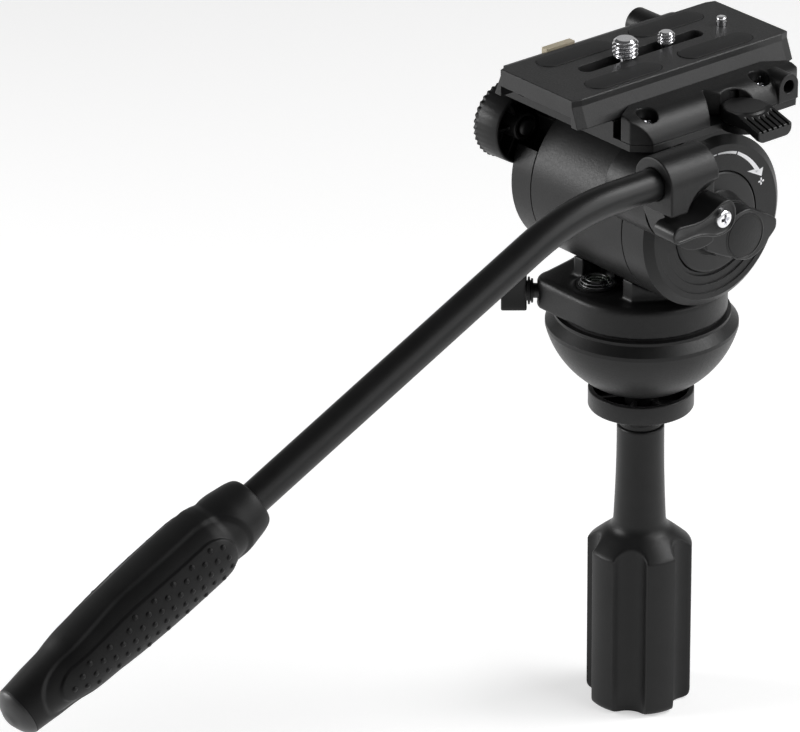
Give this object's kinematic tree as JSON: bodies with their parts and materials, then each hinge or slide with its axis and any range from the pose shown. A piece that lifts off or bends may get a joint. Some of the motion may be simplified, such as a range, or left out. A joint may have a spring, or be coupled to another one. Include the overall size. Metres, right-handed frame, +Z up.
{
  "type": "fluid video head",
  "caption": "Fluid video tripod head on a half ball, with a bent pan bar and grip, drag knob, pan lock, sliding quick-release camera plate and a tie-down handle.",
  "frame": {"origin": "Centre of the half ball's sphere, which is the centre of the tripod bowl it sits in.", "axes": "+X to the operator's right along the tilt axis, +Y forward to the lens, +Z up along the pan axis."},
  "size_m": [0.1229, 0.388, 0.2739],
  "materials": {
    "black_metal": "cast aluminium with a satin black powder coat",
    "plate_metal": "extruded aluminium, matte black anodised",
    "dark_tube": "drawn aluminium tube, satin black",
    "black_plastic": "glass-filled nylon, fine grain",
    "grey_plastic": "moulded cap, satin",
    "grip_rubber": "soft grip rubber",
    "pad_rubber": "ribbed rubber",
    "steel": "turned steel",
    "chrome": "bright plated steel",
    "brass": "brass, satin",
    "bronze": "sintered bronze",
    "vial": "clear acrylic vial with spirit"
  },
  "bodies": {
    "base": {"half_ball": "black_metal", "pan_axle": "steel", "axle_nut": "steel", "thrust_ring": "bronze", "pan_seal": "pad_rubber", "tie_stud": "steel", "stud_nut": "steel"},
    "dish": {"clamp_dish": "black_plastic"},
    "handle": {"tie_handle": "black_plastic", "handle_insert": "brass"},
    "pan": {"pan_housing": "black_metal", "pan_bush": "bronze", "level_ring": "black_plastic", "level_vial": "vial", "centre_drum": "black_metal", "drum_ends": "black_metal", "tilt_bushes": "bronze", "drag_stators": "steel", "counter_spring": "steel", "saddle_screws": "steel"},
    "pan_lock": {"pan_lock_screw": "steel", "pan_lock_knob": "black_plastic"},
    "tilt": {"right_cheek": "black_metal", "boss_rosette": "black_metal", "left_cheek": "black_metal", "tilt_axle": "steel", "drag_rotors": "steel", "platform": "black_metal", "platform_bolts": "steel", "clamp_rail": "black_metal", "rail_screws": "chrome", "lever_pin": "steel", "tab_spring": "steel", "left_rosette": "black_plastic", "left_rosette_bolt": "steel"},
    "drag": {"drag_dial": "black_plastic", "drag_wing": "black_plastic", "drag_cap": "black_plastic"},
    "bar": {"bar_bracket": "black_plastic", "bar_rosette": "black_metal", "pan_bar": "dark_tube", "grip_body": "grip_rubber", "grip_cap": "grey_plastic"},
    "bar_lock": {"lock_lever": "black_plastic", "lock_bolt": "steel", "lock_screw": "chrome"},
    "lever": {"release_lever": "black_plastic"},
    "jaw": {"clamp_jaw": "black_metal"},
    "tab": {"safety_tab": "brass"},
    "plate": {"quick_plate": "plate_metal", "grip_pads": "pad_rubber", "pin_plug": "steel", "pin_spring": "steel"},
    "big_slider": {"big_nut": "steel"},
    "big_screw_body": {"big_screw": "chrome"},
    "small_slider": {"small_nut": "steel"},
    "small_screw_body": {"small_screw": "chrome"},
    "pin": {"video_pin": "chrome"}
  },
  "joints": [
    {"name": "pan_turn", "type": "hinge", "parent": "base", "child": "pan", "pos_m": [0, 0, 0], "axis": [0, 0, 1], "continuous": true},
    {"name": "dish_rise", "type": "slide", "parent": "base", "child": "dish", "axis": [0, 0, 1], "range_m": [0, 0.003]},
    {"name": "tie_turn", "type": "hinge", "parent": "dish", "child": "handle", "pos_m": [0, 0, -0.1], "axis": [0, 0, 1], "range_deg": [0, 720]},
    {"name": "pan_lock_turn", "type": "hinge", "parent": "pan", "child": "pan_lock", "pos_m": [-0.02571, -0.03064, 0.0033], "axis": [-0.6428, -0.766, 0], "range_deg": [-90, 90]},
    {"name": "tilt_turn", "type": "hinge", "parent": "pan", "child": "tilt", "pos_m": [0, 0, 0.0446], "axis": [1, 0, 0], "range_deg": [-85, 70], "stiffness_Nm_per_rad": 0.6},
    {"name": "drag_turn", "type": "hinge", "parent": "tilt", "child": "drag", "pos_m": [0, 0, 0.0446], "axis": [1, 0, 0], "range_deg": [0, 270]},
    {"name": "bar_angle", "type": "hinge", "parent": "tilt", "child": "bar", "pos_m": [0.055, -0.026, 0.0643], "axis": [1, 0, 0], "range_deg": [-30, 45]},
    {"name": "bar_lock_turn", "type": "hinge", "parent": "bar", "child": "bar_lock", "pos_m": [0.067, -0.026, 0.0643], "axis": [1, 0, 0], "range_deg": [0, 120]},
    {"name": "lever_turn", "type": "hinge", "parent": "tilt", "child": "lever", "pos_m": [0.042, 0.011, 0.0858], "axis": [0, 0, 1], "range_deg": [-40, 0]},
    {"name": "jaw_slide", "type": "slide", "parent": "tilt", "child": "jaw", "axis": [1, 0, 0], "range_m": [0, 0.0008]},
    {"name": "tab_press", "type": "slide", "parent": "tilt", "child": "tab", "axis": [0, 0, 1], "range_m": [-0.002, 0], "stiffness_N_per_m": 300, "springref_m": 0.002, "deforming": ["tab_spring"]},
    {"name": "plate_slide", "type": "slide", "parent": "tilt", "child": "plate", "axis": [0, 1, 0], "range_m": [-0.02, 0.02]},
    {"name": "big_slide", "type": "slide", "parent": "plate", "child": "big_slider", "axis": [0, 1, 0], "range_m": [-0.015, 0.003]},
    {"name": "big_turn", "type": "hinge", "parent": "big_slider", "child": "big_screw_body", "pos_m": [0, -0.0096, 0.1], "axis": [0, 0, 1], "continuous": true},
    {"name": "small_slide", "type": "slide", "parent": "plate", "child": "small_slider", "axis": [0, 1, 0], "range_m": [-0.004, 0.0104]},
    {"name": "small_turn", "type": "hinge", "parent": "small_slider", "child": "small_screw_body", "pos_m": [0, 0.0104, 0.1], "axis": [0, 0, 1], "continuous": true},
    {"name": "pin_press", "type": "slide", "parent": "plate", "child": "pin", "axis": [0, 0, 1], "range_m": [-0.0035, 0], "stiffness_N_per_m": 300, "springref_m": 0.002, "deforming": ["pin_spring"]}
  ],
  "couplings": [
    {"joint": "dish_rise", "follows": "tie_turn", "m_per_rad": 0.00023873},
    {"joint": "jaw_slide", "follows": "lever_turn", "m_per_rad": -0.0011459}
  ]
}
